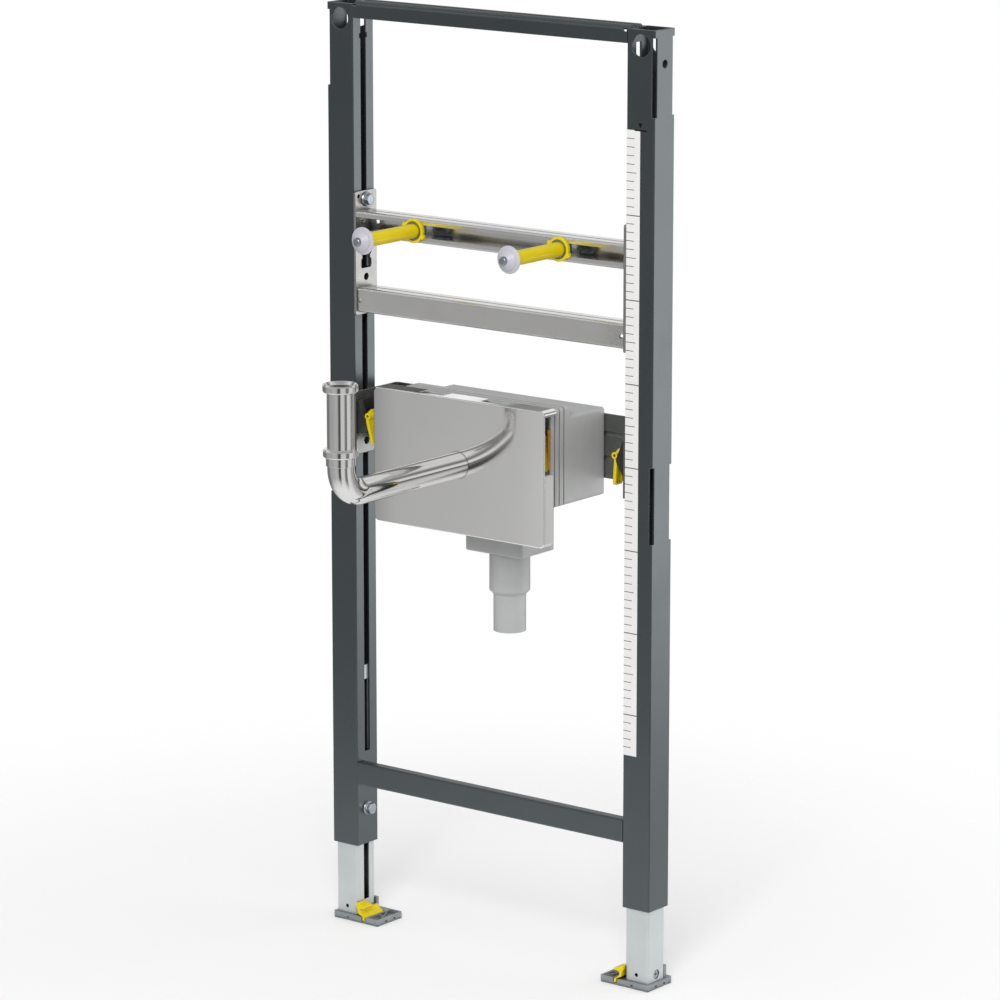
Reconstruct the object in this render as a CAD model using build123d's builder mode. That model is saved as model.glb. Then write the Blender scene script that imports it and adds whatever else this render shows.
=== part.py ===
"""Basin installation frame: two posts on telescopic legs, a basin carrier and a concealed trap."""

import os

from build123d import *

os.makedirs("parts", exist_ok=True)

# Driving sizes in millimetres. X runs across the frame, Y to the back, Z up from the floor.
# Posts: square tubes with eyes, corner notches and a clamping slot.
frame_width = 492.0
post_side = 40.0
post_wall = 2.5
post_radius = 2.0
post_bore_radius = 0.5
post_length = 1057.0
slot_width = 10.0
slot_foot = 120.0
cross_slot_height = 6.0
cross_slot_lap = 2.2
eye_radius = 13.25
eye_drop = 18.5
side_hole_radius = 5.0
side_hole_drop = 40.0
notch_width = 4.2
notch_depth = 5.0
notch_length = 92.0
notch_drop = 9.0
notch_rise = 451.0
slide_gap = 0.1

# Legs and feet.
leg_shown = 91.5
leg_hidden = 230.0
leg_play = 0.3
leg_wall = 2.0
leg_radius = 4.0
leg_slot_foot = 17.5
leg_slot_head = 18.0
leg_hole_radius = 2.4
leg_bolt_rise = 45.5
button_radius = 6.0
button_rise = 9.0
button_sink = 1.0
foot_length = 72.0
foot_depth = 50.0
foot_lead = 1.0
foot_thick = 8.5
foot_rim = 3.0
pocket_depth = 4.5
tab_height = 15.5
tab_thick = 4.5
sole_step = 2.5
sole_inset = 1.0
sole_notch = 4.0
clip_length = 37.5
clip_sheet = 3.2
clip_nose = 13.5
clip_height = 17.5
pad_length = 14.0
tail_height = 8.0

# Bars between the posts.
bar_height = 17.0
bar_sheet = 2.0
bar_hem = 5.0
bead_radius = 4.0
bead_crest = 3.5
bead_inset = 9.0
bead_spacing = 17.0
relief_radius = 3.0
low_bar_height = 29.0
low_bar_depth = 12.0
low_bar_rise = 80.0

# Flange bolts.
bolt_radius = 4.0
bolt_play = 0.2
bolt_flange_radius = 9.0
bolt_flange_thick = 2.5
bolt_head_radius = 7.5
bolt_head_height = 6.0
bolt_tail = 6.0

# Basin carrier.
carrier_rise = 676.0
carrier_height = 152.0
carrier_sheet = 3.0
carrier_bolt_drop = 10.5
carrier_hole_radius = 4.5
carrier_hole_rise = 45.5
keyhole_width = 20.0
keyhole_height = 12.0
keyhole_neck = 15.0
keyhole_radius = 3.0
keyhole_rise = 62.5
keyhole_pitch = 16.0
rail_side = 30.0
rail_sheet = 2.0
rail_mouth = 15.0
rail_bead = 1.2
rail_hole_radius = 3.0
upper_rail_rise = 99.0
lower_rail_rise = 4.0
lower_rail_setback = 2.5

# Basin studs.
stud_spacing = 220.0
stud_radius = 5.0
stud_reach = 111.5
stud_tail = 16.0
stud_nut_thick = 6.0
stud_nut_play = 1.5
washer_radius = 11.8
washer_thick = 3.0
ring_radius = 14.8
ring_thick = 4.0
ear_radius = 3.2
ear_angle = 155.0
sleeve_radius = 8.7
sleeve_length = 94.5
cap_radius = 16.6
cap_rim = 1.6
cap_step_radius = 12.6
cap_step = 3.4
cap_step_rise = 1.2
cap_face_radius = 6.5
cap_thick = 10.5

# Trap bracket with its clamps.
bracket_rise = 502.0
bracket_height = 79.0
bracket_sheet = 2.0
bracket_bend = 4.0
groove_width = 6.0
groove_depth = 1.4
groove_spacing = 30.0
arm_hole_radius = 4.6
arm_hole_rise = 15.0
clamp_rise = 47.0
clamp_height = 42.0
clamp_depth = 36.0
clamp_reach = 12.0
tongue_height = 24.0
tongue_play = 1.0
lever_lead = 2.0
lever_depth = 18.0
lever_thick = 4.2
lever_rise = 7.0
lever_drop = 36.7
lever_swing = 5.2
lever_slant = 4.4
lever_boss_radius = 4.0
lever_boss_length = 11.5

# Trap: box, collar, cover plate and outlet.
box_width = 234.0
box_height = 107.0
box_depth = 67.5
box_wall = 3.0
box_radius = 3.5
box_drop = 20.5
collar_depth = 38.0
collar_lead = 26.5
collar_lift = 12.5
collar_groove = 2.0
collar_groove_pitch = 9.0
cover_lap = 13.0
cover_height = 165.0
cover_depth = 18.0
cover_sheet = 1.0
cover_radius = 7.0
cover_drop = 41.5
cover_front = 56.0
crest_depth = 25.0
crest_gap = 36.0
crest_middle = 56.0
flank_foot = 88.0
catch_height = 48.0
catch_thick = 3.0
catch_rise = 90.0
outlet_width = 87.0
outlet_drop = 79.0
outlet_radius = 25.0
outlet_end_radius = 20.0
outlet_wall = 2.0
outlet_collar_length = 49.0
outlet_cone = 5.0
outlet_end_length = 46.0

# Inlet: level pipe with elbow, union, riser and top ring.
inlet_radius = 16.0
inlet_wall = 1.0
inlet_height = 85.0
inlet_reach = 273.0
inlet_bend = 33.0
inlet_rise = 132.0
nut_radius = 20.8
nut_height = 9.5
nut_rise = 46.0
nut_bevel = 1.5
socket_radius = 17.4
socket_height = 10.0
funnel_depth = 4.0

# Positions that follow from the sizes.
half_width = frame_width / 2
half_span = half_width - post_side
post_x = half_width - post_side / 2
post_bottom = foot_thick + leg_shown
post_top = post_bottom + post_length
front_reach = inlet_reach + nut_radius
box_back = box_depth + collar_depth - collar_lead
back_reach = box_back + bracket_sheet
face_y = (front_reach - back_reach) / 2
mid_y = face_y + post_side / 2

# Right post: square tube, its inner face slotted for the carriers, its outer corners notched.
post_bore = post_side - 2 * post_wall
slot_length = post_length - slot_foot - bar_height
slot_z = post_bottom + slot_foot + slot_length / 2
cross_slot_z = post_top - side_hole_drop
leg_bolt_z = post_bottom + leg_bolt_rise
notch_top_z = post_top - notch_drop - notch_length / 2
notch_mid_z = post_bottom + notch_rise + notch_length / 2

with BuildPart() as right_post:
    with BuildSketch(Plane.XY.offset(post_bottom)):
        with Locations((post_x, mid_y)):
            RectangleRounded(post_side, post_side, post_radius)
            RectangleRounded(post_bore, post_bore, post_bore_radius, mode=Mode.SUBTRACT)
    extrude(amount=post_length)
    with BuildSketch(Plane.YZ.offset(half_span)):
        with Locations((mid_y, slot_z)):
            Rectangle(slot_width, slot_length)
        with Locations((mid_y, cross_slot_z)):
            Rectangle(slot_width + 2 * cross_slot_lap, cross_slot_height)
        with Locations((mid_y, leg_bolt_z)):
            Circle(bolt_radius + bolt_play)
    extrude(amount=2 * post_wall, mode=Mode.SUBTRACT)
    with BuildSketch(Plane.XZ.offset(-mid_y)):
        with Locations((post_x, post_top - eye_drop)):
            Circle(eye_radius)
    extrude(amount=post_side, both=True, mode=Mode.SUBTRACT)
    with BuildSketch(Plane.YZ.offset(half_width)):
        with Locations((mid_y, post_top - side_hole_drop)):
            Circle(side_hole_radius)
    extrude(amount=-2 * post_wall, mode=Mode.SUBTRACT)
    with BuildSketch(Plane.YZ.offset(half_width)):
        for notch_z in (notch_top_z, notch_mid_z):
            with Locations((face_y, notch_z), (face_y + post_side, notch_z)):
                Rectangle(2 * notch_depth, notch_length)
    extrude(amount=-notch_width, mode=Mode.SUBTRACT)
right_post.part.label = "right_post"
export_step(right_post.part, "parts/right_post.step")

with BuildPart() as left_post:
    mirror(right_post.part, about=Plane.YZ)
left_post.part.label = "left_post"
export_step(left_post.part, "parts/left_post.step")

# Top bar: pressed angle between the posts, with two beads along its top and a hemmed back edge.
bead_z = post_top + bead_crest - bead_radius
bead_seats = [(face_y + bead_inset, bead_z), (face_y + bead_inset + bead_spacing, bead_z)]
relief_x = half_span - relief_radius

with BuildPart() as top_bar:
    with BuildSketch(Plane.YZ) as bar_profile:
        with Locations((mid_y, post_top - bar_height / 2)):
            Rectangle(post_side, bar_height)
        fillet(bar_profile.vertices().group_by(Axis.Y)[-1], bar_sheet)
        with Locations(*bead_seats):
            Circle(bead_radius)
        with Locations((mid_y, post_top - bar_height / 2 - bar_sheet)):
            Rectangle(post_side - 2 * bar_sheet, bar_height, mode=Mode.SUBTRACT)
        with Locations((face_y + post_side, post_top - bar_hem - bar_height / 2)):
            Rectangle(4 * bar_sheet, bar_height, mode=Mode.SUBTRACT)
    extrude(amount=half_span, both=True)
    with BuildSketch(Plane.XZ.offset(-face_y)):
        with Locations((-relief_x, post_top - bar_sheet / 2), (relief_x, post_top - bar_sheet / 2)):
            Circle(relief_radius)
    extrude(amount=-2 * bar_sheet, mode=Mode.SUBTRACT)
top_bar.part.label = "top_bar"
export_step(top_bar.part, "parts/top_bar.step")

# Bottom bar: channel open to the back that ties the posts together above the legs.
low_bar_z = post_bottom + low_bar_rise + low_bar_height / 2

with BuildPart() as bottom_bar:
    with BuildSketch(Plane.YZ) as low_bar_profile:
        with Locations((face_y + low_bar_depth / 2, low_bar_z)):
            Rectangle(low_bar_depth, low_bar_height)
        fillet(low_bar_profile.vertices().group_by(Axis.X)[0], bar_sheet)
        with Locations((face_y + low_bar_depth / 2 + bar_sheet, low_bar_z)):
            Rectangle(low_bar_depth, low_bar_height - 2 * bar_sheet, mode=Mode.SUBTRACT)
    extrude(amount=half_span, both=True)
bottom_bar.part.label = "bottom_bar"
export_step(bottom_bar.part, "parts/bottom_bar.step")

# Leg bolts: hexagon bolts whose flange bears on the post's inner face.
leg_bolt_length = post_wall + bolt_tail

with BuildPart() as right_leg_bolt:
    with BuildSketch(Plane.YZ.offset(half_span)):
        with Locations((mid_y, leg_bolt_z)):
            Circle(bolt_flange_radius)
    extrude(amount=-bolt_flange_thick)
    with BuildSketch(Plane.YZ.offset(half_span - bolt_flange_thick)):
        with Locations((mid_y, leg_bolt_z)):
            RegularPolygon(bolt_head_radius, 6)
    extrude(amount=-bolt_head_height)
    with BuildSketch(Plane.YZ.offset(half_span)):
        with Locations((mid_y, leg_bolt_z)):
            Circle(bolt_radius)
    extrude(amount=leg_bolt_length)
right_leg_bolt.part.label = "right_leg_bolt"
export_step(right_leg_bolt.part, "parts/right_leg_bolt.step")

with BuildPart() as left_leg_bolt:
    mirror(right_leg_bolt.part, about=Plane.YZ)
left_leg_bolt.part.label = "left_leg_bolt"
export_step(left_leg_bolt.part, "parts/left_leg_bolt.step")

# Telescopic leg: square tube inside the post, slotted for the bolt, with a button hole outside.
leg_side = post_bore - 2 * leg_play
leg_bore = leg_side - 2 * leg_wall
leg_length = leg_shown + leg_hidden
leg_inner_x = post_x - leg_side / 2
leg_outer_x = post_x + leg_side / 2
leg_slot_length = leg_length - leg_slot_foot - leg_slot_head
button_z = foot_thick + button_rise

with BuildPart() as right_leg:
    with BuildSketch(Plane.XY.offset(foot_thick)):
        with Locations((post_x, mid_y)):
            RectangleRounded(leg_side, leg_side, leg_radius)
            RectangleRounded(leg_bore, leg_bore, leg_radius - leg_wall, mode=Mode.SUBTRACT)
    extrude(amount=leg_length)
    with BuildSketch(Plane.YZ.offset(leg_inner_x)):
        with Locations((mid_y, foot_thick + leg_slot_foot + leg_slot_length / 2)):
            Rectangle(slot_width, leg_slot_length)
    extrude(amount=2 * leg_wall, mode=Mode.SUBTRACT)
    with BuildSketch(Plane.XZ.offset(-(mid_y - leg_side / 2))):
        with Locations((post_x, button_z)):
            Circle(leg_hole_radius)
    extrude(amount=-2 * leg_wall, mode=Mode.SUBTRACT)
    with BuildSketch(Plane.YZ.offset(leg_outer_x)):
        with Locations((mid_y, button_z)):
            Circle(button_radius)
    extrude(amount=-2 * leg_wall, mode=Mode.SUBTRACT)
right_leg.part.label = "right_leg"
export_step(right_leg.part, "parts/right_leg.step")

with BuildPart() as left_leg:
    mirror(right_leg.part, about=Plane.YZ)
left_leg.part.label = "left_leg"
export_step(left_leg.part, "parts/left_leg.step")

# Foot plate: cast sole on a stepped base, with a ribbed pocket, a seat for the clip and tabs behind the leg.
foot_inner_x = half_width - foot_length
foot_mid_x = half_width - foot_length / 2
foot_front_y = face_y - foot_lead
foot_mid_y = foot_front_y + foot_depth / 2
foot_back_y = foot_front_y + foot_depth
leg_back_y = mid_y + leg_side / 2
seat_x = leg_inner_x - clip_nose + clip_sheet / 2
seat_width = 2 * clip_sheet
pocket_length = seat_x - seat_width / 2 - foot_inner_x - 1.5 * foot_rim
pocket_x = foot_inner_x + foot_rim + pocket_length / 2
pocket_z = foot_thick - pocket_depth

with BuildPart() as right_foot_plate:
    with BuildSketch():
        with Locations((foot_mid_x, foot_mid_y)):
            RectangleRounded(foot_length, foot_depth, foot_rim)
    extrude(amount=foot_thick)
    with BuildSketch(Plane.XY.offset(pocket_z)):
        with Locations((pocket_x, foot_mid_y)):
            RectangleRounded(pocket_length, foot_depth - 2 * foot_rim, foot_rim / 2)
        with Locations((seat_x, foot_front_y + clip_length / 2)):
            Rectangle(seat_width, clip_length + foot_rim)
    extrude(amount=pocket_depth, mode=Mode.SUBTRACT)
    with BuildSketch():
        with Locations((pocket_x, foot_mid_y)):
            SlotOverall(foot_depth / 2, pocket_length / 2, rotation=90)
    extrude(amount=foot_thick, mode=Mode.SUBTRACT)
    with BuildSketch():
        with Locations((foot_mid_x, foot_mid_y)):
            Rectangle(foot_length, foot_depth)
            Rectangle(foot_length - 2 * sole_inset, foot_depth - 2 * sole_inset, mode=Mode.SUBTRACT)
    extrude(amount=sole_step, mode=Mode.SUBTRACT)
    with BuildSketch(Plane.XY.offset(sole_step)):
        with Locations((foot_mid_x, foot_mid_y)):
            with GridLocations(foot_length, foot_depth / 3, 2, 2):
                Rectangle(sole_notch, sole_notch)
            with GridLocations(foot_length / 3, foot_depth, 2, 2):
                Rectangle(sole_notch, sole_notch)
    extrude(amount=sole_step, mode=Mode.SUBTRACT)
    with BuildSketch(Plane.XY.offset(pocket_z)):
        with Locations((pocket_x, foot_mid_y)):
            Rectangle(pocket_length, foot_rim / 2)
            Rectangle(foot_rim / 2, foot_depth - foot_rim, rotation=-25)
    extrude(amount=pocket_depth - foot_rim / 2)
    with BuildSketch(Plane.XY.offset(foot_thick)):
        with Locations((leg_inner_x + leg_side / 5, leg_back_y + leg_play + tab_thick / 2)):
            Rectangle(leg_side / 2, tab_thick)
        with Locations((leg_outer_x - leg_side / 5, leg_back_y + leg_play + tab_thick / 2)):
            Rectangle(leg_side / 3, tab_thick)
    extrude(amount=tab_height)
right_foot_plate.part.label = "right_foot_plate"
export_step(right_foot_plate.part, "parts/right_foot_plate.step")

with BuildPart() as left_foot_plate:
    mirror(right_foot_plate.part, about=Plane.YZ)
left_foot_plate.part.label = "left_foot_plate"
export_step(left_foot_plate.part, "parts/left_foot_plate.step")

# Foot clip: S-shaped spring lever between plate and leg, with a thumb pad in front and a low tail behind.
clip_foot_x = leg_inner_x - clip_nose
clip_waist_x = leg_inner_x - 0.45 * clip_nose
clip_round = clip_sheet / 3

with BuildPart() as right_foot_clip:
    with BuildSketch(Plane.XZ.offset(-foot_front_y)) as clip_side:
        with BuildLine():
            Polyline(
                (clip_foot_x, pocket_z),
                (clip_foot_x, foot_thick - 0.5),
                (clip_waist_x, foot_thick + 0.27 * clip_height),
                (clip_waist_x + 1.0, foot_thick + 0.5 * clip_height),
                (clip_waist_x - 2.0, foot_thick + 0.58 * clip_height),
                (clip_foot_x, foot_thick + 0.62 * clip_height),
                (clip_foot_x, foot_thick + 0.78 * clip_height),
                (leg_inner_x, foot_thick + clip_height),
                (leg_inner_x, foot_thick + 0.75 * clip_height),
                (clip_waist_x + clip_sheet + 1.0, foot_thick + 0.55 * clip_height),
                (clip_waist_x + clip_sheet, foot_thick + 0.2 * clip_height),
                (clip_foot_x + clip_sheet, foot_thick + 0.5),
                (clip_foot_x + clip_sheet, pocket_z),
                close=True,
            )
        make_face()
        fillet(clip_side.vertices().group_by(Axis.Y)[1:], clip_round)
    extrude(amount=-clip_length)
    with BuildSketch(Plane.YZ.offset(leg_inner_x)) as clip_dip:
        with BuildLine():
            Polyline(
                (foot_front_y + pad_length, foot_thick + 2 * clip_height),
                (foot_front_y + 1.2 * pad_length, foot_thick + tail_height),
                (foot_front_y + 2 * clip_length, foot_thick + tail_height),
                (foot_front_y + 2 * clip_length, foot_thick + 2 * clip_height),
                close=True,
            )
        make_face()
        fillet(clip_dip.vertices().group_by(Axis.Y)[0].sort_by(Axis.X)[0], clip_sheet)
    extrude(amount=-2 * clip_nose, mode=Mode.SUBTRACT)
right_foot_clip.part.label = "right_foot_clip"
export_step(right_foot_clip.part, "parts/right_foot_clip.step")

with BuildPart() as left_foot_clip:
    mirror(right_foot_clip.part, about=Plane.YZ)
left_foot_clip.part.label = "left_foot_clip"
export_step(left_foot_clip.part, "parts/left_foot_clip.step")

# Foot screw: round head sunk in the hole of the leg's outer wall, with a collar behind the wall.
screw_collar_thick = 1.5

with BuildPart() as right_foot_screw:
    with BuildSketch(Plane.YZ.offset(leg_outer_x - leg_wall)):
        with Locations((mid_y, button_z)):
            Circle(button_radius + leg_wall)
    extrude(amount=-screw_collar_thick)
    with BuildSketch(Plane.YZ.offset(leg_outer_x - leg_wall)):
        with Locations((mid_y, button_z)):
            Circle(button_radius - slide_gap)
    extrude(amount=leg_wall - button_sink)
right_foot_screw.part.label = "right_foot_screw"
export_step(right_foot_screw.part, "parts/right_foot_screw.step")

with BuildPart() as left_foot_screw:
    mirror(right_foot_screw.part, about=Plane.YZ)
left_foot_screw.part.label = "left_foot_screw"
export_step(left_foot_screw.part, "parts/left_foot_screw.step")

# Carrier plate: upright sheet on the post's inner face that holds both rails.
carrier_z = post_bottom + carrier_rise
carrier_outer_x = half_span - slide_gap
carrier_inner_x = carrier_outer_x - carrier_sheet
carrier_bolt_z = carrier_z + carrier_height - carrier_bolt_drop
keyhole_z = carrier_z + keyhole_rise
upper_rail_z = carrier_z + upper_rail_rise
stud_z = upper_rail_z + rail_side / 2
rail_mid_y = face_y + rail_side / 2
corner_hole_radius = 2.5
corner_hole_inset = 6.0
rivet_radius = 2.2
rivet_height = 1.5

with BuildPart() as right_carrier_plate:
    with BuildSketch(Plane.YZ.offset(carrier_outer_x)):
        with Locations((mid_y, carrier_z + carrier_height / 2)):
            RectangleRounded(post_side, carrier_height, carrier_sheet)
        with Locations((mid_y, carrier_bolt_z)):
            Circle(bolt_radius + bolt_play, mode=Mode.SUBTRACT)
        with Locations((face_y + corner_hole_inset, carrier_z + carrier_height - corner_hole_inset)):
            Circle(corner_hole_radius, mode=Mode.SUBTRACT)
        with Locations((mid_y, carrier_z + carrier_hole_rise)):
            Circle(carrier_hole_radius, mode=Mode.SUBTRACT)
        with Locations((mid_y, keyhole_z), (mid_y, keyhole_z + keyhole_pitch)):
            RectangleRounded(keyhole_width, keyhole_height, keyhole_radius, mode=Mode.SUBTRACT)
        with Locations((mid_y, keyhole_z + keyhole_pitch / 2)):
            Rectangle(keyhole_neck, keyhole_pitch, mode=Mode.SUBTRACT)
    extrude(amount=-carrier_sheet)
    with BuildSketch(Plane.YZ.offset(carrier_inner_x)):
        with Locations((rail_mid_y, stud_z)):
            Circle(rivet_radius)
    extrude(amount=-rivet_height)
right_carrier_plate.part.label = "right_carrier_plate"
export_step(right_carrier_plate.part, "parts/right_carrier_plate.step")

with BuildPart() as left_carrier_plate:
    mirror(right_carrier_plate.part, about=Plane.YZ)
left_carrier_plate.part.label = "left_carrier_plate"
export_step(left_carrier_plate.part, "parts/left_carrier_plate.step")

# Upper rail: channel open to the front, beaded along its flanges; its lips hold the stud nuts.
rail_bore = rail_side - 2 * rail_sheet
rail_radius = 1.5 * rail_sheet
rail_hole_x = carrier_inner_x - 4 * rail_hole_radius

with BuildPart() as upper_rail:
    with BuildSketch(Plane.YZ):
        with Locations((rail_mid_y, stud_z)):
            RectangleRounded(rail_side, rail_side, rail_radius)
            RectangleRounded(rail_bore, rail_bore, rail_radius - rail_sheet, mode=Mode.SUBTRACT)
        with Locations((face_y, stud_z)):
            Rectangle(3 * rail_sheet, rail_mouth, mode=Mode.SUBTRACT)
        with Locations((rail_mid_y, stud_z + rail_side / 2), (rail_mid_y, stud_z - rail_side / 2)):
            Circle(rail_bead, mode=Mode.SUBTRACT)
    extrude(amount=carrier_inner_x, both=True)
    with BuildSketch(Plane.XZ.offset(-(face_y + rail_side))):
        with Locations((-rail_hole_x, stud_z), (rail_hole_x, stud_z)):
            Circle(rail_hole_radius)
    extrude(amount=2 * rail_sheet, mode=Mode.SUBTRACT)
upper_rail.part.label = "upper_rail"
export_step(upper_rail.part, "parts/upper_rail.step")

# Lower rail: the same channel turned round, its closed web to the front.
lower_rail_y = face_y + lower_rail_setback
lower_rail_mid_y = lower_rail_y + rail_side / 2
lower_rail_mid_z = carrier_z + lower_rail_rise + rail_side / 2
web_hole_x = carrier_inner_x - 1.4 * rail_hole_radius

with BuildPart() as lower_rail:
    with BuildSketch(Plane.YZ):
        with Locations((lower_rail_mid_y, lower_rail_mid_z)):
            RectangleRounded(rail_side, rail_side, rail_radius)
            RectangleRounded(rail_bore, rail_bore, rail_radius - rail_sheet, mode=Mode.SUBTRACT)
        with Locations((lower_rail_y + rail_side, lower_rail_mid_z)):
            Rectangle(3 * rail_sheet, rail_mouth, mode=Mode.SUBTRACT)
        with Locations((lower_rail_mid_y, lower_rail_mid_z + rail_side / 2)):
            Circle(rail_bead, mode=Mode.SUBTRACT)
        with Locations((lower_rail_mid_y, lower_rail_mid_z - rail_side / 2)):
            Circle(rail_bead, mode=Mode.SUBTRACT)
    extrude(amount=carrier_inner_x, both=True)
    with BuildSketch(Plane.XZ.offset(-lower_rail_y)):
        with Locations((-web_hole_x, lower_rail_mid_z), (web_hole_x, lower_rail_mid_z)):
            Circle(rail_hole_radius)
    extrude(amount=-2 * rail_sheet, mode=Mode.SUBTRACT)
lower_rail.part.label = "lower_rail"
export_step(lower_rail.part, "parts/lower_rail.step")

# Carrier bolts: flange bolts through plate and post slot.
carrier_bolt_length = carrier_sheet + slide_gap + post_wall + bolt_tail

with BuildPart() as right_carrier_bolt:
    with BuildSketch(Plane.YZ.offset(carrier_inner_x)):
        with Locations((mid_y, carrier_bolt_z)):
            Circle(bolt_flange_radius)
    extrude(amount=-bolt_flange_thick)
    with BuildSketch(Plane.YZ.offset(carrier_inner_x - bolt_flange_thick)):
        with Locations((mid_y, carrier_bolt_z)):
            RegularPolygon(bolt_head_radius, 6)
    extrude(amount=-bolt_head_height)
    with BuildSketch(Plane.YZ.offset(carrier_inner_x)):
        with Locations((mid_y, carrier_bolt_z)):
            Circle(bolt_radius)
    extrude(amount=carrier_bolt_length)
right_carrier_bolt.part.label = "right_carrier_bolt"
export_step(right_carrier_bolt.part, "parts/right_carrier_bolt.step")

with BuildPart() as left_carrier_bolt:
    mirror(right_carrier_bolt.part, about=Plane.YZ)
left_carrier_bolt.part.label = "left_carrier_bolt"
export_step(left_carrier_bolt.part, "parts/left_carrier_bolt.step")

# Basin stud: threaded rod with a slide nut behind the rail's lips.
stud_x = stud_spacing / 2
stud_nut_side = rail_bore - 2 * stud_nut_play
rail_lip_y = face_y + rail_sheet

with BuildPart() as right_stud_nut:
    with BuildSketch(Plane.XZ.offset(-rail_lip_y)):
        with Locations((stud_x, stud_z)):
            RectangleRounded(stud_nut_side, stud_nut_side, stud_nut_play)
            Circle(stud_radius, mode=Mode.SUBTRACT)
    extrude(amount=-stud_nut_thick)
right_stud_nut.part.label = "right_stud_nut"
export_step(right_stud_nut.part, "parts/right_stud_nut.step")

with BuildPart() as left_stud_nut:
    mirror(right_stud_nut.part, about=Plane.YZ)
left_stud_nut.part.label = "left_stud_nut"
export_step(left_stud_nut.part, "parts/left_stud_nut.step")

with BuildPart() as right_stud:
    with BuildSketch(Plane.XZ.offset(-(face_y + stud_tail))):
        with Locations((stud_x, stud_z)):
            Circle(stud_radius)
    extrude(amount=stud_tail + stud_reach)
    chamfer(right_stud.edges().group_by(Axis.Y)[0], stud_radius / 5)
right_stud.part.label = "right_stud"
export_step(right_stud.part, "parts/right_stud.step")

with BuildPart() as left_stud:
    mirror(right_stud.part, about=Plane.YZ)
left_stud.part.label = "left_stud"
export_step(left_stud.part, "parts/left_stud.step")

# Stud washer: zinc disc inside the ring clip.
with BuildPart() as right_stud_washer:
    with BuildSketch(Plane.XZ.offset(-face_y)):
        with Locations((stud_x, stud_z)):
            Circle(washer_radius)
            Circle(stud_radius, mode=Mode.SUBTRACT)
    extrude(amount=washer_thick)
right_stud_washer.part.label = "right_stud_washer"
export_step(right_stud_washer.part, "parts/right_stud_washer.step")

with BuildPart() as left_stud_washer:
    mirror(right_stud_washer.part, about=Plane.YZ)
left_stud_washer.part.label = "left_stud_washer"
export_step(left_stud_washer.part, "parts/left_stud_washer.step")

# Ring clip: yellow ring with two opposite ears that holds the stud in the rail's mouth.
with BuildPart() as right_ring_clip:
    with BuildSketch(Plane.XZ.offset(-face_y)):
        with Locations((stud_x, stud_z)):
            Circle(ring_radius)
            with PolarLocations(ring_radius, 2, start_angle=ear_angle):
                Circle(ear_radius)
            Circle(washer_radius, mode=Mode.SUBTRACT)
    extrude(amount=ring_thick)
right_ring_clip.part.label = "right_ring_clip"
export_step(right_ring_clip.part, "parts/right_ring_clip.step")

with BuildPart() as left_ring_clip:
    with Locations((-stud_spacing, 0.0, 0.0)):
        add(right_ring_clip.part)
left_ring_clip.part.label = "left_ring_clip"
export_step(left_ring_clip.part, "parts/left_ring_clip.step")

# Spacer sleeve: yellow tube over the stud.
sleeve_y = face_y - washer_thick

with BuildPart() as right_sleeve:
    with BuildSketch(Plane.XZ.offset(-sleeve_y)):
        with Locations((stud_x, stud_z)):
            Circle(sleeve_radius)
            Circle(stud_radius, mode=Mode.SUBTRACT)
    extrude(amount=sleeve_length)
right_sleeve.part.label = "right_sleeve"
export_step(right_sleeve.part, "parts/right_sleeve.step")

with BuildPart() as left_sleeve:
    mirror(right_sleeve.part, about=Plane.YZ)
left_sleeve.part.label = "left_sleeve"
export_step(left_sleeve.part, "parts/left_sleeve.step")

# Basin cap: turned bush at the sleeve's end, a thin broad rim, a step and a cone down to the stud.
cap_y = sleeve_y - sleeve_length
cap_edge = cap_rim / 4

with BuildPart() as right_cap:
    with BuildSketch(Plane.XY.offset(stud_z)):
        with BuildLine():
            Polyline(
                (stud_x + stud_radius, cap_y),
                (stud_x + cap_radius - cap_edge, cap_y),
                (stud_x + cap_radius, cap_y - cap_edge),
                (stud_x + cap_radius, cap_y - cap_rim + cap_edge),
                (stud_x + cap_radius - cap_edge, cap_y - cap_rim),
                (stud_x + cap_step_radius, cap_y - cap_step),
                (stud_x + cap_step_radius, cap_y - cap_step - cap_step_rise),
                (stud_x + cap_face_radius, cap_y - cap_thick + cap_edge),
                (stud_x + cap_face_radius - cap_edge, cap_y - cap_thick),
                (stud_x + stud_radius, cap_y - cap_thick),
                close=True,
            )
        make_face()
    revolve(axis=Axis((stud_x, cap_y, stud_z), (0, 1, 0)))
right_cap.part.label = "right_cap"
export_step(right_cap.part, "parts/right_cap.step")

with BuildPart() as left_cap:
    mirror(right_cap.part, about=Plane.YZ)
left_cap.part.label = "left_cap"
export_step(left_cap.part, "parts/left_cap.step")

# Trap bracket: one bent sheet, grooved behind the trap, its arms along the posts' inner faces.
bracket_z = post_bottom + bracket_rise
bracket_mid_z = bracket_z + bracket_height / 2
bracket_half = half_span - slide_gap
bracket_front_y = face_y + box_back
bracket_back_y = bracket_front_y + bracket_sheet
arm_inner_x = bracket_half - bracket_sheet
clamp_z = bracket_z + clamp_rise
tongue_width = slot_width - 2 * tongue_play
groove_round = (groove_width**2 / 4 + groove_depth**2) / (2 * groove_depth)
groove_y = bracket_front_y + groove_depth - groove_round
groove_half = arm_inner_x - 2 * bracket_bend

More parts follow.
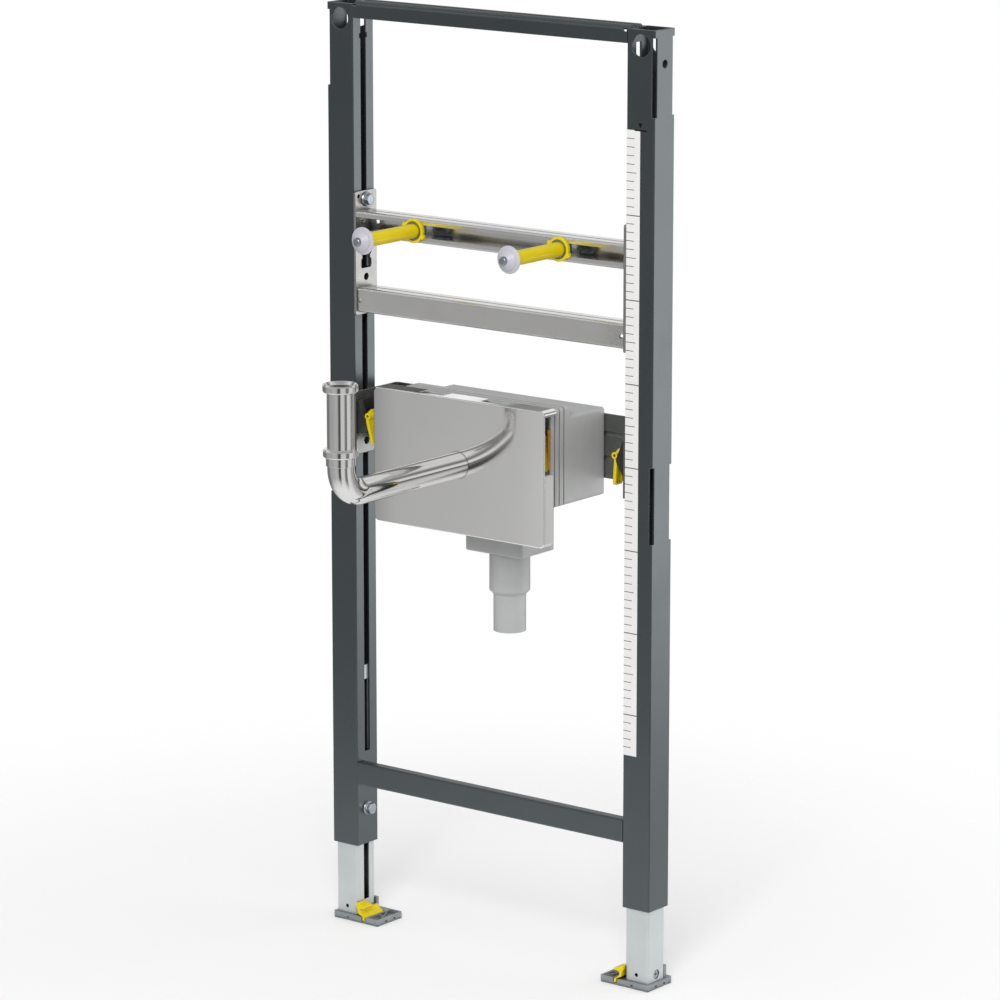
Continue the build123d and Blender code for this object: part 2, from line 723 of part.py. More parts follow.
with BuildPart() as trap_bracket:
    with BuildSketch(Plane.XY.offset(bracket_z)) as bracket_plan:
        with Locations((0.0, (face_y + bracket_back_y) / 2)):
            Rectangle(2 * bracket_half, bracket_back_y - face_y)
        fillet(bracket_plan.vertices().group_by(Axis.Y)[-1], bracket_bend)
        with Locations((0.0, face_y)):
            Rectangle(2 * arm_inner_x, 2 * box_back, mode=Mode.SUBTRACT)
        fillet(bracket_plan.vertices().group_by(Axis.Y)[-2], bracket_bend - bracket_sheet)
    extrude(amount=bracket_height)
    with BuildSketch(Plane.YZ):
        with Locations((groove_y, bracket_mid_z - groove_spacing / 2)):
            Circle(groove_round)
        with Locations((groove_y, bracket_mid_z + groove_spacing / 2)):
            Circle(groove_round)
    extrude(amount=groove_half, both=True, mode=Mode.SUBTRACT)
    with BuildSketch(Plane.YZ):
        with Locations((mid_y, bracket_z + arm_hole_rise)):
            Circle(arm_hole_radius)
        with Locations((mid_y, clamp_z)):
            Rectangle(tongue_width, tongue_height)
    extrude(amount=half_span, both=True, mode=Mode.SUBTRACT)
trap_bracket.part.label = "trap_bracket"
export_step(trap_bracket.part, "parts/trap_bracket.step")

# Clamp block: black wedge on the arm's inner face, hollow above, its tongue in the post's slot.
clamp_front_y = mid_y - clamp_depth / 2
clamp_apex_x = arm_inner_x - clamp_reach
clamp_top_z = clamp_z + clamp_height / 2
clamp_foot_z = clamp_z - clamp_height / 2
clamp_rim = 7.0
apex_high_z = clamp_z - 1.5
apex_low_z = clamp_z - 4.5
tongue_length = bracket_sheet + slide_gap + post_wall + bolt_tail

with BuildPart() as right_clamp_block:
    with BuildSketch(Plane.XZ.offset(-clamp_front_y)):
        with BuildLine():
            Polyline(
                (arm_inner_x, clamp_foot_z),
                (arm_inner_x, clamp_top_z),
                (arm_inner_x - clamp_reach / 5, clamp_top_z),
                (clamp_apex_x, apex_high_z),
                (clamp_apex_x, apex_low_z),
                (arm_inner_x - clamp_reach / 6, clamp_foot_z),
                close=True,
            )
        make_face()
    extrude(amount=-clamp_depth)
    with BuildSketch(Plane.XY.offset(clamp_z + clamp_rim / 2)):
        with Locations((clamp_apex_x, mid_y + clamp_rim / 4)):
            Rectangle(1.6 * clamp_reach, clamp_depth - 1.5 * clamp_rim)
    extrude(amount=clamp_height, mode=Mode.SUBTRACT)
    with BuildSketch(Plane.YZ.offset(arm_inner_x)):
        with Locations((mid_y, clamp_z)):
            Rectangle(tongue_width, tongue_height)
    extrude(amount=tongue_length)
right_clamp_block.part.label = "right_clamp_block"
export_step(right_clamp_block.part, "parts/right_clamp_block.step")

with BuildPart() as left_clamp_block:
    mirror(right_clamp_block.part, about=Plane.YZ)
left_clamp_block.part.label = "left_clamp_block"
export_step(left_clamp_block.part, "parts/left_clamp_block.step")

# Clamp lever: yellow lever against the block's edge, swung out below, hollow towards the post, on a
# pivot boss that points to the front.
lever_outer_x = clamp_apex_x - lever_thick
lever_front_y = clamp_front_y + lever_lead
lever_back_y = lever_front_y + lever_depth
pivot_z = clamp_z + 2.0
pivot_x = clamp_apex_x - 0.8 * lever_boss_radius
lever_top_z = pivot_z + lever_rise
lever_foot_z = pivot_z - lever_drop
lever_heel_z = apex_low_z
lever_wall = 2.0

with BuildPart() as right_clamp_lever:
    with BuildSketch(Plane.XZ.offset(-lever_front_y)):
        with BuildLine():
            Polyline(
                (clamp_apex_x, lever_top_z),
                (clamp_apex_x, lever_heel_z),
                (clamp_apex_x - lever_swing, lever_foot_z),
                (lever_outer_x - lever_swing, lever_foot_z),
                (lever_outer_x, lever_heel_z),
                (lever_outer_x, lever_top_z),
                close=True,
            )
        make_face()
    extrude(amount=-lever_depth)
    with BuildSketch(Plane.YZ.offset(clamp_apex_x)) as lever_side:
        with BuildLine():
            Polyline(
                (lever_front_y, lever_heel_z),
                (lever_front_y, pivot_z + lever_wall),
                (lever_front_y + lever_depth / 2, lever_top_z),
                (lever_back_y, lever_top_z),
                (lever_back_y, lever_foot_z),
                (lever_front_y + lever_slant, lever_foot_z),
                close=True,
            )
        make_face()
        fillet(lever_side.vertices(), lever_wall)
    extrude(amount=clamp_reach, both=True, mode=Mode.INTERSECT)
    with BuildSketch(Plane.XZ.offset(-(lever_front_y - lever_wall / 2))):
        with Locations((pivot_x, pivot_z)):
            Circle(lever_boss_radius)
    extrude(amount=-lever_boss_length)
    with BuildSketch(Plane.XZ.offset(-(lever_front_y - lever_wall / 2))):
        with Locations((pivot_x, pivot_z)):
            Circle(lever_boss_radius / 2)
    extrude(amount=-lever_boss_length / 2, mode=Mode.SUBTRACT)
    with BuildSketch(Plane.XZ.offset(-(lever_front_y + lever_slant + lever_wall))):
        with BuildLine():
            Polyline(
                (clamp_apex_x, lever_heel_z - lever_wall),
                (clamp_apex_x, lever_foot_z + lever_wall),
                (lever_outer_x - lever_swing + lever_wall, lever_foot_z + lever_wall),
                (lever_outer_x + lever_wall, lever_heel_z - lever_wall),
                close=True,
            )
        make_face()
    extrude(amount=lever_slant + 2 * lever_wall - lever_depth, mode=Mode.SUBTRACT)
right_clamp_lever.part.label = "right_clamp_lever"
export_step(right_clamp_lever.part, "parts/right_clamp_lever.step")

with BuildPart() as left_clamp_lever:
    mirror(right_clamp_lever.part, about=Plane.YZ)
left_clamp_lever.part.label = "left_clamp_lever"
export_step(left_clamp_lever.part, "parts/left_clamp_lever.step")

# Trap box: moulded housing against the bracket, open to the front.
box_z = bracket_z - box_drop
box_mid_z = box_z + box_height / 2
box_front_y = bracket_front_y - box_depth
box_bore_width = box_width - 2 * box_wall
box_bore_height = box_height - 2 * box_wall
box_bore_radius = box_radius - box_wall / 2

with BuildPart() as trap_box:
    with BuildSketch(Plane.XZ.offset(-bracket_front_y)):
        with Locations((0.0, box_mid_z)):
            RectangleRounded(box_width, box_height, box_radius)
    extrude(amount=box_depth)
    with BuildSketch(Plane.XZ.offset(-(bracket_front_y - box_wall))):
        with Locations((0.0, box_mid_z)):
            RectangleRounded(box_bore_width, box_bore_height, box_bore_radius)
    extrude(amount=box_depth, mode=Mode.SUBTRACT)
trap_box.part.label = "trap_box"
export_step(trap_box.part, "parts/trap_box.step")

# Trap collar: shell in front of the box, grooved round its front so that it can be cut to length.
collar_height = box_height + collar_lift
collar_front_y = box_front_y - collar_depth
collar_mid_z = box_z + collar_height / 2
collar_bore_height = collar_height - 2 * box_wall

with BuildPart() as trap_collar:
    with BuildSketch(Plane.XZ.offset(-box_front_y)):
        with Locations((0.0, collar_mid_z)):
            RectangleRounded(box_width, collar_height, box_radius)
    extrude(amount=collar_depth)
    with BuildSketch(Plane.XZ.offset(-(box_front_y - box_wall))):
        with Locations((0.0, collar_mid_z)):
            RectangleRounded(box_bore_width, collar_bore_height, box_bore_radius)
    extrude(amount=collar_depth, mode=Mode.SUBTRACT)
    with BuildSketch(Plane.XZ.offset(-box_front_y)):
        with Locations((0.0, box_mid_z)):
            RectangleRounded(box_bore_width, box_bore_height, box_bore_radius)
    extrude(amount=collar_depth, mode=Mode.SUBTRACT)
    for groove in (1, 2, 3):
        with BuildSketch(Plane.XZ.offset(-(collar_front_y + groove * collar_groove_pitch))):
            with Locations((0.0, collar_mid_z)):
                Rectangle(2 * box_width, 2 * collar_height)
                RectangleRounded(box_width - box_wall, collar_height - box_wall, box_radius, mode=Mode.SUBTRACT)
        extrude(amount=collar_groove, mode=Mode.SUBTRACT)
trap_collar.part.label = "trap_collar"
export_step(trap_collar.part, "parts/trap_collar.step")

# Cover plate: drawn chrome tray over the opening, its flanks cut away above, its top edge in tabs.
cover_width = box_width + 2 * cover_lap
cover_front_y = face_y - cover_front
cover_back_y = cover_front_y + crest_depth
cover_z = box_z - cover_drop
cover_mid_z = cover_z + cover_height / 2
cover_bend_z = cover_z + cover_height - cover_radius
flank_z = cover_z + flank_foot
inlet_z = cover_z + inlet_height
crest_gap_x = (crest_middle + crest_gap) / 2

with BuildPart() as cover_plate:
    with BuildSketch(Plane.XZ.offset(-cover_front_y)):
        with Locations((0.0, cover_mid_z)):
            RectangleRounded(cover_width, cover_height, cover_radius)
    extrude(amount=-crest_depth)
    fillet(cover_plate.edges().group_by(Axis.Y)[0], 1.5 * cover_sheet)
    with BuildSketch(Plane.XZ.offset(-(cover_front_y + cover_sheet))):
        with Locations((0.0, cover_mid_z)):
            RectangleRounded(cover_width - 2 * cover_sheet, cover_height - 2 * cover_sheet, cover_radius - cover_sheet)
    extrude(amount=-crest_depth, mode=Mode.SUBTRACT)
    with BuildSketch(Plane.YZ):
        with Locations((cover_back_y, cover_bend_z)):
            Rectangle(2 * (crest_depth - cover_depth), cover_height, align=(Align.CENTER, Align.MAX))
            Rectangle(2 * (crest_depth - cover_radius), cover_bend_z - flank_z, align=(Align.CENTER, Align.MAX))
    extrude(amount=cover_width, both=True, mode=Mode.SUBTRACT)
    with BuildSketch(Plane.XY.offset(cover_bend_z)):
        with Locations((-crest_gap_x, cover_back_y), (crest_gap_x, cover_back_y)):
            Rectangle(crest_gap, 2 * (crest_depth - cover_radius))
    extrude(amount=2 * cover_radius, mode=Mode.SUBTRACT)
    with BuildSketch(Plane.XZ.offset(-cover_front_y)):
        with Locations((0.0, inlet_z)):
            Circle(inlet_radius)
    extrude(amount=-2 * cover_sheet, mode=Mode.SUBTRACT)
cover_plate.part.label = "cover_plate"
export_step(cover_plate.part, "parts/cover_plate.step")

# Cover clips: amber catches between the cover plate and the collar, each with a spring slot.
catch_reach = collar_front_y - cover_front_y - cover_sheet
catch_y = cover_front_y + cover_sheet + catch_reach / 2
catch_z = cover_z + catch_rise + catch_height / 2

with BuildPart() as right_cover_clip:
    with BuildSketch(Plane.YZ.offset(box_width / 2 - catch_thick)):
        with Locations((catch_y, catch_z)):
            Rectangle(catch_reach, catch_height)
            SlotOverall(catch_height / 2, catch_reach / 4, rotation=90, mode=Mode.SUBTRACT)
    extrude(amount=catch_thick)
right_cover_clip.part.label = "right_cover_clip"
export_step(right_cover_clip.part, "parts/right_cover_clip.step")

with BuildPart() as left_cover_clip:
    mirror(right_cover_clip.part, about=Plane.YZ)
left_cover_clip.part.label = "left_cover_clip"
export_step(left_cover_clip.part, "parts/left_cover_clip.step")

# Outlet body: hollow moulding under the box, rounded below, with the pipe's port in its floor.
outlet_z = box_z - outlet_drop
outlet_y = bracket_front_y - box_depth / 2

with BuildPart() as outlet_body:
    with BuildSketch(Plane.XY.offset(outlet_z)):
        with Locations((0.0, outlet_y)):
            RectangleRounded(outlet_width, box_depth, 1.5 * box_wall)
    extrude(amount=outlet_drop)
    fillet(outlet_body.edges().group_by(Axis.Z)[0], 0.8 * box_wall)
    with BuildSketch(Plane.XY.offset(outlet_z + box_wall)):
        with Locations((0.0, outlet_y)):
            RectangleRounded(outlet_width - 2 * box_wall, box_depth - 2 * box_wall, box_wall / 2)
    extrude(amount=outlet_drop, mode=Mode.SUBTRACT)
    with BuildSketch(Plane.XY.offset(outlet_z)):
        with Locations((0.0, outlet_y)):
            Circle(outlet_radius - outlet_wall)
    extrude(amount=2 * box_wall, mode=Mode.SUBTRACT)
outlet_body.part.label = "outlet_body"
export_step(outlet_body.part, "parts/outlet_body.step")

# Outlet pipe: thin stepped spigot for the waste pipe.
outlet_step_z = outlet_z - outlet_collar_length
outlet_neck_z = outlet_step_z - outlet_cone
outlet_end_z = outlet_neck_z - outlet_end_length

with BuildPart() as outlet_pipe:
    with BuildSketch(Plane.YZ):
        with BuildLine():
            Polyline(
                (outlet_y + outlet_radius - outlet_wall, outlet_z),
                (outlet_y + outlet_radius, outlet_z),
                (outlet_y + outlet_radius, outlet_step_z),
                (outlet_y + outlet_end_radius, outlet_neck_z),
                (outlet_y + outlet_end_radius, outlet_end_z),
                (outlet_y + outlet_end_radius - outlet_wall, outlet_end_z),
                (outlet_y + outlet_end_radius - outlet_wall, outlet_neck_z),
                (outlet_y + outlet_radius - outlet_wall, outlet_step_z),
                close=True,
            )
        make_face()
    revolve(axis=Axis((0, outlet_y, 0), (0, 0, 1)))
outlet_pipe.part.label = "outlet_pipe"
export_step(outlet_pipe.part, "parts/outlet_pipe.step")

# Inlet pipe: level chrome tube with a swept elbow at its front end.
inlet_y = face_y - inlet_reach
nut_z = inlet_z + nut_rise
union_z = nut_z + nut_height / 2

with BuildPart() as inlet_pipe:
    with BuildLine() as inlet_path:
        FilletPolyline((0, box_front_y, inlet_z), (0, inlet_y, inlet_z), (0, inlet_y, union_z), radius=inlet_bend)
    with BuildSketch(Plane(origin=(0, box_front_y, inlet_z), z_dir=(0, -1, 0))):
        Circle(inlet_radius)
        Circle(inlet_radius - inlet_wall, mode=Mode.SUBTRACT)
    sweep(path=inlet_path.wires()[0])
inlet_pipe.part.label = "inlet_pipe"
export_step(inlet_pipe.part, "parts/inlet_pipe.step")

# Union nut: turned chrome ring over the joint, with the elbow's socket below it.
with BuildPart() as union_nut:
    with BuildSketch(Plane.XZ.offset(-inlet_y)):
        with BuildLine():
            Polyline(
                (inlet_radius, nut_z - socket_height),
                (socket_radius, nut_z - socket_height),
                (socket_radius, nut_z),
                (nut_radius - nut_bevel, nut_z),
                (nut_radius, nut_z + nut_bevel),
                (nut_radius, nut_z + nut_height - nut_bevel),
                (nut_radius - nut_bevel, nut_z + nut_height),
                (inlet_radius, nut_z + nut_height),
                close=True,
            )
        make_face()
    revolve(axis=Axis((0, inlet_y, 0), (0, 0, 1)))
union_nut.part.label = "union_nut"
export_step(union_nut.part, "parts/union_nut.step")

# Riser tube: upright chrome tube to the basin's waste.
riser_top_z = inlet_z + inlet_rise
riser_end_z = riser_top_z - funnel_depth

with BuildPart() as riser_tube:
    with BuildSketch(Plane.XY.offset(union_z)):
        with Locations((0.0, inlet_y)):
            Circle(inlet_radius)
            Circle(inlet_radius - inlet_wall, mode=Mode.SUBTRACT)
    extrude(amount=riser_end_z - union_z)
riser_tube.part.label = "riser_tube"
export_step(riser_tube.part, "parts/riser_tube.step")

# Top ring: turned chrome collar at the riser's open end, flared as a funnel inside.
with BuildPart() as top_ring:
    with BuildSketch(Plane.XZ.offset(-inlet_y)):
        with BuildLine():
            Polyline(
                (inlet_radius, riser_top_z - nut_height),
                (nut_radius - nut_bevel, riser_top_z - nut_height),
                (nut_radius, riser_top_z - nut_height + nut_bevel),
                (nut_radius, riser_top_z - nut_bevel),
                (nut_radius - nut_bevel, riser_top_z),
                (nut_radius - 1.5 * nut_bevel, riser_top_z),
                (inlet_radius, riser_end_z),
                close=True,
            )
        make_face()
    revolve(axis=Axis((0, inlet_y, 0), (0, 0, 1)))
top_ring.part.label = "top_ring"
export_step(top_ring.part, "parts/top_ring.step")
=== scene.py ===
import math

import bmesh
import bpy
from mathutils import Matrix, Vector


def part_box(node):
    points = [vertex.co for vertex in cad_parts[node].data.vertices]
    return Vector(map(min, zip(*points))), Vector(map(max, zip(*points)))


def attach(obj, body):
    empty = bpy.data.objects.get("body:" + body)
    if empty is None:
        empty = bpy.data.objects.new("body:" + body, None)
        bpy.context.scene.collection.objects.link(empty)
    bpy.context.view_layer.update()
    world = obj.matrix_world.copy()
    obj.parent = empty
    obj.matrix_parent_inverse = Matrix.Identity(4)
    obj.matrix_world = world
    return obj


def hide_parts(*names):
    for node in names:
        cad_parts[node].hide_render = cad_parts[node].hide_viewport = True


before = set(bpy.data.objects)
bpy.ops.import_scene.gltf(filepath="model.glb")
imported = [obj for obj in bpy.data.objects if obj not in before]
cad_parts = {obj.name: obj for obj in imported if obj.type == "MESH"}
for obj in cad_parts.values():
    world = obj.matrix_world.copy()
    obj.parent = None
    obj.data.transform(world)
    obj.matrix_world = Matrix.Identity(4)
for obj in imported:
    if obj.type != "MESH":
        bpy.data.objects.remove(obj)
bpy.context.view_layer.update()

# Posts, top bar and bottom bar: roll-formed steel tube and pressed sheet, welded into one frame and
# covered with satin anthracite powder coat. The coat has a fine orange peel and is much paler along
# the bent edges. Inside the tubes it is dull, and painted shade makes it nearly black there.


def shader_group(name, inputs, outputs):
    """New node group with number inputs: its tree, what goes in and what comes out."""
    tree = bpy.data.node_groups.new(name, "ShaderNodeTree")
    for label, value in inputs.items():
        socket = tree.interface.new_socket(label, in_out="INPUT", socket_type="NodeSocketFloat")
        socket.default_value = value
    for label, kind in outputs.items():
        tree.interface.new_socket(label, in_out="OUTPUT", socket_type=kind)
    given = tree.nodes.new("NodeGroupInput").outputs
    result = tree.nodes.new("NodeGroupOutput").inputs
    return tree, given, result


def shader_node(tree, kind, **settings):
    node = tree.nodes.new(kind)
    for label, value in settings.items():
        setattr(node, label, value)
    return node


# The bent or moulded edge that every sheet and moulding has: a rounded normal and an edge mask.
soft_edge, given, result = shader_group(
    "soft_edge", {"Radius": 0.001}, {"Normal": "NodeSocketVector", "Edge": "NodeSocketFloat"})
rounding = shader_node(soft_edge, "ShaderNodeBevel", samples=6)
facing = shader_node(soft_edge, "ShaderNodeNewGeometry")
turn = shader_node(soft_edge, "ShaderNodeVectorMath", operation="DOT_PRODUCT")
bend = shader_node(soft_edge, "ShaderNodeMapRange")
bend.inputs["From Min"].default_value = 0.99
bend.inputs["From Max"].default_value = 0.86
soft_edge.links.new(given["Radius"], rounding.inputs["Radius"])
soft_edge.links.new(rounding.outputs["Normal"], turn.inputs[0])
soft_edge.links.new(facing.outputs["Normal"], turn.inputs[1])
soft_edge.links.new(turn.outputs["Value"], bend.inputs["Value"])
soft_edge.links.new(rounding.outputs["Normal"], result["Normal"])
soft_edge.links.new(bend.outputs["Result"], result["Edge"])

# Occlusion mask: how far a spot lies in a recess, where the finishes lay painted shade and dull the
# roughness.
occlusion_mask, given, result = shader_group("occlusion_mask", {"Reach": 0.03}, {"Mask": "NodeSocketFloat"})
hollow = shader_node(occlusion_mask, "ShaderNodeAmbientOcclusion", samples=8)
depth = shader_node(occlusion_mask, "ShaderNodeMapRange")
depth.inputs["From Min"].default_value = 0.75
depth.inputs["From Max"].default_value = 0.15
occlusion_mask.links.new(given["Reach"], hollow.inputs["Distance"])
occlusion_mask.links.new(hollow.outputs["AO"], depth.inputs["Value"])
occlusion_mask.links.new(depth.outputs["Result"], result["Mask"])

# Grain of a surface: noise with its own number of cells per metre along each axis, so that it serves
# for orange peel, casting grit and drawn lines alike.
surface_grain, given, result = shader_group(
    "surface_grain", {"Across": 500.0, "Deep": 500.0, "Up": 500.0}, {"Height": "NodeSocketFloat"})
place = shader_node(surface_grain, "ShaderNodeTexCoord")
cells = shader_node(surface_grain, "ShaderNodeCombineXYZ")
stretch = shader_node(surface_grain, "ShaderNodeVectorMath", operation="MULTIPLY")
noise = shader_node(surface_grain, "ShaderNodeTexNoise")
noise.inputs["Scale"].default_value = 1.0
noise.inputs["Detail"].default_value = 2.0
for axis, label in zip("XYZ", ("Across", "Deep", "Up")):
    surface_grain.links.new(given[label], cells.inputs[axis])
surface_grain.links.new(place.outputs["Object"], stretch.inputs[0])
surface_grain.links.new(cells.outputs["Vector"], stretch.inputs[1])
surface_grain.links.new(stretch.outputs["Vector"], noise.inputs["Vector"])
surface_grain.links.new(noise.outputs["Fac"], result["Height"])

# Uneven tone of a finish: soft clouds between two values.
uneven_tone, given, result = shader_group(
    "uneven_tone", {"Cells": 20.0, "Low": 0.0, "High": 1.0}, {"Value": "NodeSocketFloat"})
place = shader_node(uneven_tone, "ShaderNodeTexCoord")
cloud = shader_node(uneven_tone, "ShaderNodeTexNoise")
cloud.inputs["Detail"].default_value = 4.0
spread = shader_node(uneven_tone, "ShaderNodeMapRange")
spread.inputs["From Min"].default_value = 0.3
spread.inputs["From Max"].default_value = 0.7
uneven_tone.links.new(place.outputs["Object"], cloud.inputs["Vector"])
uneven_tone.links.new(given["Cells"], cloud.inputs["Scale"])
uneven_tone.links.new(cloud.outputs["Fac"], spread.inputs["Value"])
uneven_tone.links.new(given["Low"], spread.inputs["To Min"])
uneven_tone.links.new(given["High"], spread.inputs["To Max"])
uneven_tone.links.new(spread.outputs["Result"], result["Value"])


def placed(tree, group, **values):
    node = shader_node(tree, "ShaderNodeGroup", node_tree=group)
    for label, value in values.items():
        node.inputs[label].default_value = value
    return node


def mixed(tree, amount, first, second):
    """Mix of two colours, each plain or from another node."""
    node = shader_node(tree, "ShaderNodeMix", data_type="RGBA")
    tree.links.new(amount, node.inputs["Factor"])
    for colour, socket in ((first, node.inputs[6]), (second, node.inputs[7])):
        if isinstance(colour, tuple):
            socket.default_value = (*colour, 1.0)
        else:
            tree.links.new(colour, socket)
    return node.outputs[2]


def finish(name, metallic, deep, pale, edge, recess_shade, roughness, clouds, grain, relief, radius,
           reach=0.012, dull=0.0):
    """Colour and roughness in clouds, a grain relief, edges of the given radius with their own tone,
    and painted shade in recesses, which are also duller."""
    material = bpy.data.materials.new(name)
    material.use_nodes = True
    tree = material.node_tree
    shader = tree.nodes["Principled BSDF"]
    shader.inputs["Metallic"].default_value = metallic
    rounded = placed(tree, soft_edge, Radius=radius)
    tint = placed(tree, uneven_tone, Cells=clouds)
    # The occlusion mask lays the recess colour on as painted shade and raises the roughness there.
    occlusion = placed(tree, occlusion_mask, Reach=reach)
    body = mixed(tree, tint.outputs["Value"], deep, pale)
    # The edge colour goes on along the edge mask, paler or darker than the body.
    edge_toned = mixed(tree, rounded.outputs["Edge"], body, edge)
    tree.links.new(mixed(tree, occlusion.outputs["Mask"], edge_toned, recess_shade), shader.inputs["Base Color"])
    sheen = placed(tree, uneven_tone, Cells=1.7 * clouds, Low=roughness[0], High=roughness[1])
    dulled = shader_node(tree, "ShaderNodeMath", operation="MULTIPLY_ADD")
    dulled.inputs[1].default_value = dull
    tree.links.new(occlusion.outputs["Mask"], dulled.inputs[0])
    tree.links.new(sheen.outputs["Value"], dulled.inputs[2])
    tree.links.new(dulled.outputs["Value"], shader.inputs["Roughness"])
    grit = placed(tree, surface_grain, Across=grain[0], Deep=grain[1], Up=grain[2])
    bump = shader_node(tree, "ShaderNodeBump", name="grain")
    bump.inputs["Distance"].default_value = relief
    tree.links.new(grit.outputs["Height"], bump.inputs["Height"])
    tree.links.new(rounded.outputs["Normal"], bump.inputs["Normal"])
    tree.links.new(bump.outputs["Normal"], shader.inputs["Normal"])
    return material


def dress(material, *names):
    for name in names:
        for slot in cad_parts[name].material_slots:
            slot.material = material


powder_coat = finish(
    "powder_coat", metallic=0.0, deep=(0.006, 0.009, 0.010), pale=(0.010, 0.013, 0.015),
    edge=(0.060, 0.070, 0.076), recess_shade=(0.003, 0.003, 0.004),
    roughness=(0.27, 0.33), clouds=9.0, grain=(900.0, 900.0, 900.0),
    relief=0.00004, radius=0.0010, reach=0.045, dull=0.4)
coat_shader = powder_coat.node_tree.nodes["Principled BSDF"]
coat_shader.inputs["IOR"].default_value = 2.0
coat_shader.inputs["Specular Tint"].default_value = (0.86, 0.97, 1.0, 1.0)
dress(powder_coat, "left_post", "right_post", "top_bar", "bottom_bar")

# Ruler strip: white printed film on the right post's front, from its inner edge. It is 750 mm long
# with a line every 10 mm, a longer one every 50 mm and a full one every 100 mm, and an arrow and a
# dash mark its top.
strip_width = 0.0192
strip_length = 0.750
strip_film = 0.0003
strip_inset = 0.0008
strip_drop = 0.117
print_proud = 0.00006
print_root = 0.0001
line_gap = 0.010
short_line = 0.0112
middle_line = 0.0140
line_half = 0.00045
full_line_half = 0.00065
dash_left = 0.008
dash_right = 0.009
dash_half = 0.0008
arrow_half = 0.0028
arrow_rise = 0.0085
arrow_tip = 0.0030
post_low, post_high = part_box("right_post")
strip_left = post_low.x + strip_inset
strip_right = strip_left + strip_width
strip_top = post_high.z - strip_drop
strip_front = post_low.y - strip_film
strip_root = post_low.y + print_root


def piece(name, mesh, material, body):
    solid = bpy.data.objects.new(name, mesh)
    bpy.context.scene.collection.objects.link(solid)
    mesh.materials.append(material)
    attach(solid, body)
    return solid


def mesh_of(name, form, sharp=35.0):
    """Mesh of a bmesh, smooth but for edges sharper than the angle."""
    bmesh.ops.recalc_face_normals(form, faces=form.faces)
    mesh = bpy.data.meshes.new(name)
    form.to_mesh(mesh)
    form.free()
    mesh.shade_smooth()
    mesh.set_sharp_from_angle(angle=math.radians(sharp))
    return mesh


def add_block(form, low, high):
    """Box between two corners, added to a bmesh."""
    for corner in bmesh.ops.create_cube(form, size=1.0)["verts"]:
        corner.co = Vector([low[k] + (corner.co[k] + 0.5) * (high[k] - low[k]) for k in range(3)])


strip = bmesh.new()
add_block(strip, (strip_left, strip_front, strip_top - strip_length),
          (strip_right, strip_root, strip_top))
strip_print = bmesh.new()
for step in range(1, round(strip_length / line_gap)):
    reach, half = short_line, line_half
    if step % 5 == 0:
        reach = middle_line
    if step % 10 == 0:
        reach, half = strip_width, full_line_half
    line_z = strip_top - line_gap * step
    add_block(strip_print, (strip_left, strip_front - print_proud, line_z - half),
              (strip_left + reach, strip_front + print_root, line_z + half))
strip_mark = bmesh.new()
add_block(strip_mark, (strip_right - dash_left, strip_front - print_proud, strip_top - dash_half),
          (strip_right + dash_right, strip_root, strip_top + dash_half))
arrow = [(strip_right - arrow_half, strip_top + arrow_rise),
         (strip_right + arrow_half, strip_top + arrow_rise), (strip_right, strip_top + arrow_tip)]
rear = [strip_mark.verts.new((x, strip_root, z)) for x, z in arrow]
fore = [strip_mark.verts.new((x, strip_front, z)) for x, z in arrow]
strip_mark.faces.new(rear)
strip_mark.faces.new(fore)
for k in range(3):
    strip_mark.faces.new((rear[k], rear[k - 1], fore[k - 1], fore[k]))

film_white = finish(
    "ruler_film", metallic=0.0, deep=(0.90, 0.89, 0.885), pale=(0.94, 0.93, 0.925),
    edge=(0.94, 0.93, 0.92), recess_shade=(0.60, 0.59, 0.58),
    roughness=(0.40, 0.50), clouds=14.0, grain=(1500.0, 1500.0, 1500.0),
    relief=0.00002, radius=0.0001)
film_ink = finish(
    "ruler_ink", metallic=0.0, deep=(0.16, 0.155, 0.16), pale=(0.20, 0.19, 0.20),
    edge=(0.20, 0.19, 0.20), recess_shade=(0.12, 0.12, 0.12),
    roughness=(0.45, 0.55), clouds=60.0, grain=(1500.0, 1500.0, 1500.0),
    relief=0.00002, radius=0.0001)
mark_ink = finish(
    "mark_ink", metallic=0.0, deep=(0.004, 0.004, 0.005), pale=(0.008, 0.008, 0.009),
    edge=(0.01, 0.01, 0.01), recess_shade=(0.004, 0.004, 0.004),
    roughness=(0.45, 0.55), clouds=60.0, grain=(1500.0, 1500.0, 1500.0),
    relief=0.00002, radius=0.0001)
for ink in (film_ink, mark_ink):
    ink.node_tree.nodes["Principled BSDF"].inputs["Specular IOR Level"].default_value = 0.1
piece("ruler_strip", mesh_of("ruler_strip", strip), film_white, "frame")
piece("ruler_lines", mesh_of("ruler_lines", strip_print), film_ink, "frame")
piece("ruler_mark", mesh_of("ruler_mark", strip_mark), mark_ink, "frame")

# Legs: drawn square steel tubes, bright zinc plated, that telescope in the posts. Fine drawing lines
# run along their length, and painted shade makes them nearly black inside.
zinc = finish(
    "bright_zinc", metallic=0.55, deep=(0.57, 0.605, 0.605), pale=(0.63, 0.665, 0.665),
    edge=(0.72, 0.75, 0.75), recess_shade=(0.012, 0.012, 0.012),
    roughness=(0.30, 0.42), clouds=16.0, grain=(2600.0, 2600.0, 40.0),
    relief=0.00001, radius=0.0006, reach=0.04)
dress(zinc, "left_leg", "right_leg")

